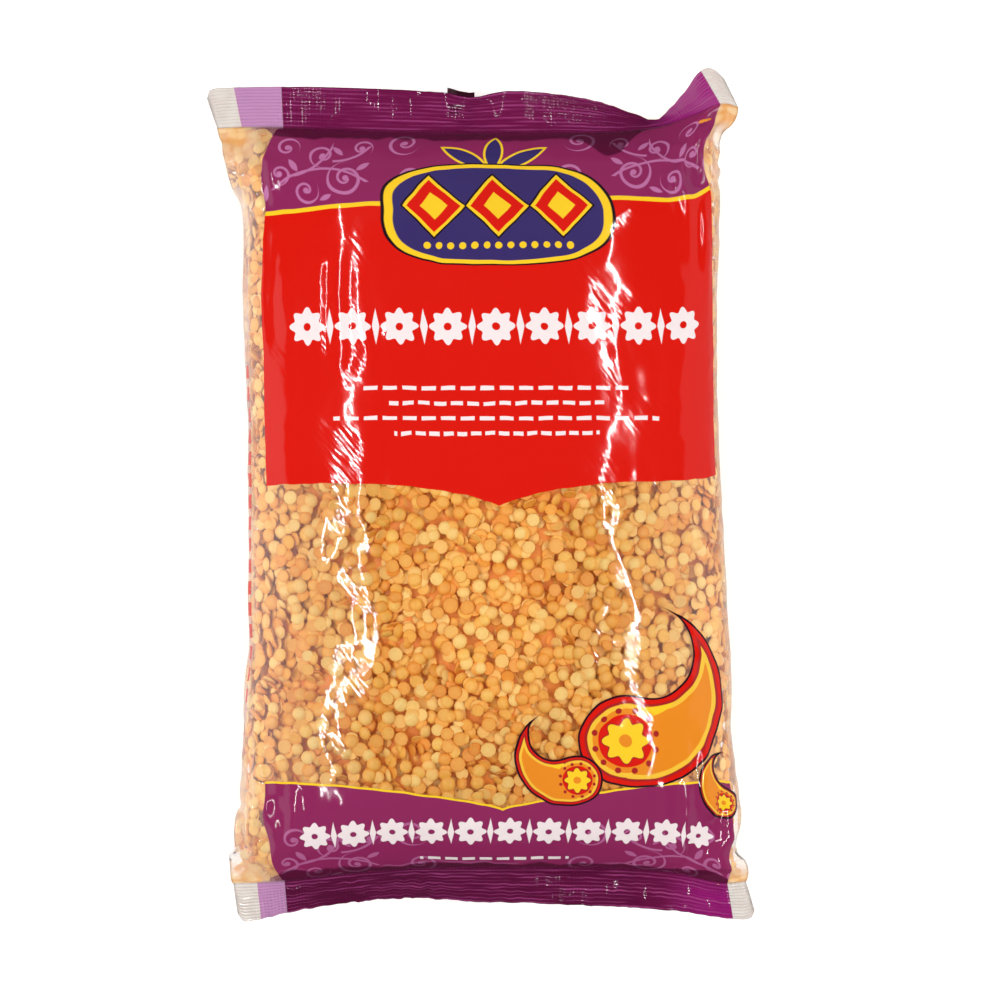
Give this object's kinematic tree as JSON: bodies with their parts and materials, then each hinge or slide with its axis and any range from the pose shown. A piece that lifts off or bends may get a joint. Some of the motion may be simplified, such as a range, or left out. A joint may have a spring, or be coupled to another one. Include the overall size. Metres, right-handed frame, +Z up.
{
  "type": "bag of lentils",
  "caption": "Sealed clear film bag stuffed with split lentils, with a crimped seal at each end, lying on its flat back; its front is printed in plain fields of colour.",
  "frame": {"origin": "centre of the bag's bounding box, on the surface that its flat back lies on", "axes": "+X across the bag, to the right as its front is looked at; +Y along the bag to its top seal; +Z up, out of its printed front"},
  "size_m": [0.2144, 0.3346, 0.0572],
  "materials": {
    "film": "glossy film printed red, purple and yellow, with clear windows",
    "lentils": "dry matt split lentils, orange to pale apricot"
  },
  "bodies": {
    "root": {"bag": "film"}
  },
  "joints": []
}
